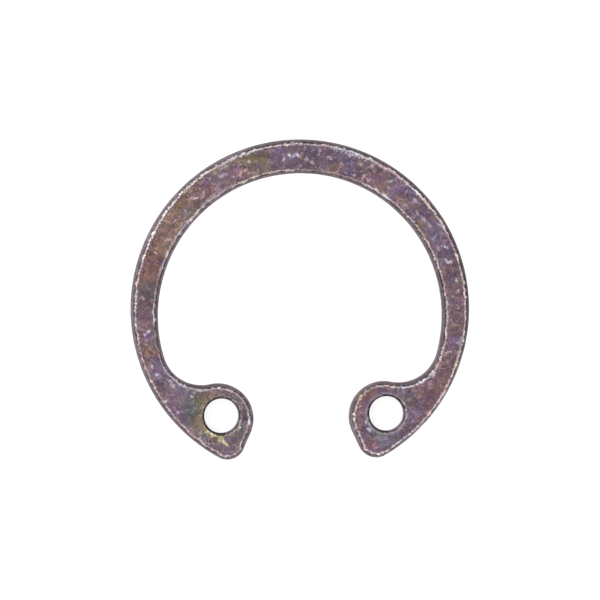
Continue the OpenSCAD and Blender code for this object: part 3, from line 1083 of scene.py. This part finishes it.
def bare_and_highlight_share(tree, place, depth, bore):
    """Where the steel is bare: a thin broken line on the crease, partly a painted highlight, and a fringe of
    rubbed patches inside it.
    """
    wander = span(tree, grain(tree, place, *WANDER), 0.3, 0.7, -0.05, 0.05)
    off = calc(tree, "ABSOLUTE", calc(tree, "ADD", calc(tree, "SUBTRACT", depth, LINE_IN), wander))
    thick = span(tree, grain(tree, place, *THICKNESS), 0.3, 0.7, 0.025, 0.1)
    line = span(tree, calc(tree, "DIVIDE", off, thick), 1.2, 0.4)
    line = calc(tree, "MULTIPLY", line, span(tree, grain(tree, place, *BREAKS), 0.41, 0.53, 0.12, 1.08))
    line = calc(tree, "MULTIPLY", line, span(tree, grain(tree, place, *LONG_BREAKS), 0.4, 0.58, 0.6, 1.15))
    missing = calc(tree, "MULTIPLY", bore, span(tree, grain(tree, place, *HOLE_BREAKS), 0.6, 0.44, 0, 0.8))
    line = calc(tree, "MULTIPLY", line, calc(tree, "SUBTRACT", 1, missing))
    near = calc(tree, "SUBTRACT", 1, calc(tree, "DIVIDE", depth, attribute(tree, "spread", "Fac")))
    patchy = span(tree, grain(tree, place, *FRINGE), 0.3, 0.7, -0.7, 0.5)
    fringe = span(tree, calc(tree, "ADD", calc(tree, "MINIMUM", near, 0.8), patchy), 0.35, 0.8, 0, 0.75)
    fringe = calc(tree, "MULTIPLY", fringe, span(tree, depth, -0.03, 0.01))
    return calc(tree, "MULTIPLY", calc(tree, "MAXIMUM", line, fringe), attribute(tree, "wear_and_highlight", "Fac"))


def tempered_steel():
    """Tumbled spring steel under a mottled temper film, rubbed bare along its creases, with painted glints on
    the faces, painted highlights on the creases and painted light and shade on the edges and in the holes.
    """
    material = bpy.data.materials.new("tempered_steel")
    material.use_nodes = True
    tree = material.node_tree
    tree.nodes.clear()
    local = tree.nodes.new("ShaderNodeTexCoord").outputs["Object"]
    place = node(tree, "ShaderNodeVectorMath", {0: local, "Scale": 1 / MM}, operation="SCALE")
    tone, hue, cloud, speck = (grain(tree, place, *kind) for kind in (TONE, HUE, CLOUD, SPECK))
    crease = attribute(tree, "crease", "Fac")
    bore = attribute(tree, "bore", "Fac")
    depth = calc(tree, "SUBTRACT", crease, calc(tree, "MULTIPLY", bore, HOLE_LINE_IN))

    film = mottled_film_with_glints(tree, place, tone, hue, cloud, speck)
    # The rolls, walls and holes: their darkness is partly painted shade
    grey = blend(tree, bore, edge_film_and_shade(tree, place, crease, tone, hue, cloud), hole_film_and_shade(tree, crease, cloud))
    # Painted light and shade: the light factor makes the rolled edges and the hole rims lighter or darker,
    # zone by zone
    grey = shade(tree, grey, attribute(tree, "light", "Fac"))
    film = blend(tree, span(tree, depth, 0, -0.03), film, grey)
    # Bare steel on the creases; its bright line is partly a painted highlight
    worn_and_highlit = bare_and_highlight_share(tree, place, depth, bore)
    bare_and_highlight = shade(tree, attribute(tree, "bare_and_highlight", "Color"), span(tree, speck, 0.3, 0.7, 0.75, 1.2))
    colour = blend(tree, worn_and_highlit, film, bare_and_highlight)

    height = calc(tree, "ADD", calc(tree, "MULTIPLY", cloud, 0.6), calc(tree, "MULTIPLY", speck, 0.35))
    height = calc(tree, "ADD", height, calc(tree, "MULTIPLY", grain(tree, place, *FINEST), 0.12))
    sockets = {"Height": height, "Strength": BUMP_STRENGTH, "Distance": BUMP_HEIGHT * MM}
    bump = node(tree, "ShaderNodeBump", sockets)
    roughness = span(tree, cloud, 0.3, 0.7, *ROUGHNESS)
    roughness = calc(tree, "SUBTRACT", roughness, calc(tree, "MULTIPLY", worn_and_highlit, WORN_SHINE))
    sockets = {"Base Color": colour, "Metallic": METALLIC, "Roughness": roughness, "Normal": bump}
    node(tree, "ShaderNodeOutputMaterial", {"Surface": node(tree, "ShaderNodeBsdfPrincipled", sockets)})
    return material


def add_finish(mesh, spots):
    """Gives the ring its steel, and each vertex the values that the steel follows."""
    # wear is bare steel on the creases, its strength partly a painted highlight
    wear_and_highlight, spread, light, bare_and_highlight = edge_wear_and_painted_light(spots)
    # light is a factor of painted light and shade on the rolled edges and the hole rims
    for name, values in (("wear_and_highlight", wear_and_highlight), ("spread", spread), ("light", light)):
        mesh.attributes.new(name, "FLOAT", "POINT").data.foreach_set("value", values)
    for name, colours in (("temper_and_glints", temper_and_glint_colours(spots)), ("bare_and_highlight", bare_and_highlight)):
        layer = mesh.color_attributes.new(name, "FLOAT_COLOR", "POINT")
        layer.data.foreach_set("color", colours.ravel())
    mesh.materials.append(tempered_steel())


# Table, light and camera

# How much of the table plane the picture shows from side to side
VIEW_MM = 34.54
CAMERA_DISTANCE = 0.6
# Where the camera stands over the ring, as millimetres across for each millimetre up
CAMERA_LEAN = (-0.066, 0.03)
CAMERA_ROLL = math.radians(-0.67)
# The point of the table plane at the middle of the picture, in millimetres
AIM = (0.012, 0.507)
SENSOR_MM = 36
CLIP_START = 0.01
# Half the table's side in metres, and its grey
TABLE_HALF = 2.0
TABLE_WHITE = 0.9
# Added to the lit table where it is seen, so that it comes out white and keeps the ring's shadow
TABLE_GLOW = 0.74
# How much light the room gives, against how light it looks
ROOM_LIGHT = 0.55
# Each lamp's name, azimuth and elevation in degrees, distance and size in metres, and power in watts
LAMPS = (
    ("key", 150, 50, 0.5, 0.25, 0.3),
    ("left", 190, 12, 0.4, 0.2, 0.25),
    ("front", 290, 20, 0.4, 0.2, 0.15),
)


def white_for_camera(tree):
    """1 for camera, glossy and transmission rays, and 0 for the rest."""
    rays = tree.nodes.new("ShaderNodeLightPath").outputs
    return calc(tree, "MAXIMUM", calc(tree, "MAXIMUM", rays["Is Camera Ray"], rays["Is Glossy Ray"]),
                rays["Is Transmission Ray"])


def add_table():
    """A white table that keeps the ring's faint shadow."""
    mesh = bpy.data.meshes.new("table")
    sides = ((-1, -1), (1, -1), (1, 1), (-1, 1))
    mesh.from_pydata([(x * TABLE_HALF, y * TABLE_HALF, -TOP * MM) for x, y in sides], [], [(0, 1, 2, 3)])
    table = bpy.data.objects.new("table", mesh)
    bpy.context.collection.objects.link(table)
    material = bpy.data.materials.new("white_table")
    material.use_nodes = True
    tree = material.node_tree
    tree.nodes.clear()
    matte = node(tree, "ShaderNodeBsdfDiffuse", {"Color": (TABLE_WHITE, TABLE_WHITE, TABLE_WHITE, 1)})
    seen = calc(tree, "MULTIPLY", white_for_camera(tree), TABLE_GLOW)
    glow = node(tree, "ShaderNodeEmission", {"Color": (1, 1, 1, 1), "Strength": seen})
    both = tree.nodes.new("ShaderNodeAddShader")
    tree.links.new(matte, both.inputs[0])
    tree.links.new(glow, both.inputs[1])
    node(tree, "ShaderNodeOutputMaterial", {"Surface": both.outputs[0]})
    mesh.materials.append(material)


def add_world():
    """A white room, plainer for the light that it gives than for what it shows."""
    world = bpy.data.worlds.new("white_room")
    bpy.context.scene.world = world
    world.use_nodes = True
    tree = world.node_tree
    tree.nodes.clear()
    strength = span(tree, white_for_camera(tree), 0, 1, ROOM_LIGHT, 1.0)
    light = node(tree, "ShaderNodeBackground", {"Color": (1, 1, 1, 1), "Strength": strength})
    node(tree, "ShaderNodeOutputWorld", {"Surface": light})


def add_lamp(name, azimuth, elevation, distance, size, power):
    """A square soft lamp that faces the ring."""
    lamp = bpy.data.lights.new(name, "AREA")
    lamp.size = size
    lamp.energy = power
    holder = bpy.data.objects.new(name, lamp)
    around, up = math.radians(azimuth), math.radians(elevation)
    spot = Vector((math.cos(around) * math.cos(up), math.sin(around) * math.cos(up), math.sin(up)))
    holder.location = spot * distance
    holder.rotation_euler = spot.to_track_quat("Z", "Y").to_euler()
    bpy.context.collection.objects.link(holder)


def add_camera():
    """A long lens that looks almost straight down, as in the photograph."""
    camera = bpy.data.cameras.new("camera")
    camera.sensor_width = SENSOR_MM
    camera.lens = SENSOR_MM * CAMERA_DISTANCE / (VIEW_MM * MM)
    camera.clip_start = CLIP_START
    holder = bpy.data.objects.new("camera", camera)
    back = Vector((*CAMERA_LEAN, 1)).normalized()
    right = Vector((0, 1, 0)).cross(back).normalized()
    up = back.cross(right)
    turn = Matrix((right, up, back)).transposed() @ Matrix.Rotation(CAMERA_ROLL, 3, "Z")
    holder.matrix_world = turn.to_4x4()
    holder.location = Vector((*AIM, 0)) * MM + back * CAMERA_DISTANCE
    bpy.context.collection.objects.link(holder)
    bpy.context.scene.camera = holder


ring, spots = build_ring()
add_finish(ring.data, spots)
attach(ring, "root")
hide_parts("retaining_ring")

add_table()
add_world()
for lamp in LAMPS:
    add_lamp(*lamp)
add_camera()
bpy.context.scene.view_settings.view_transform = "Standard"
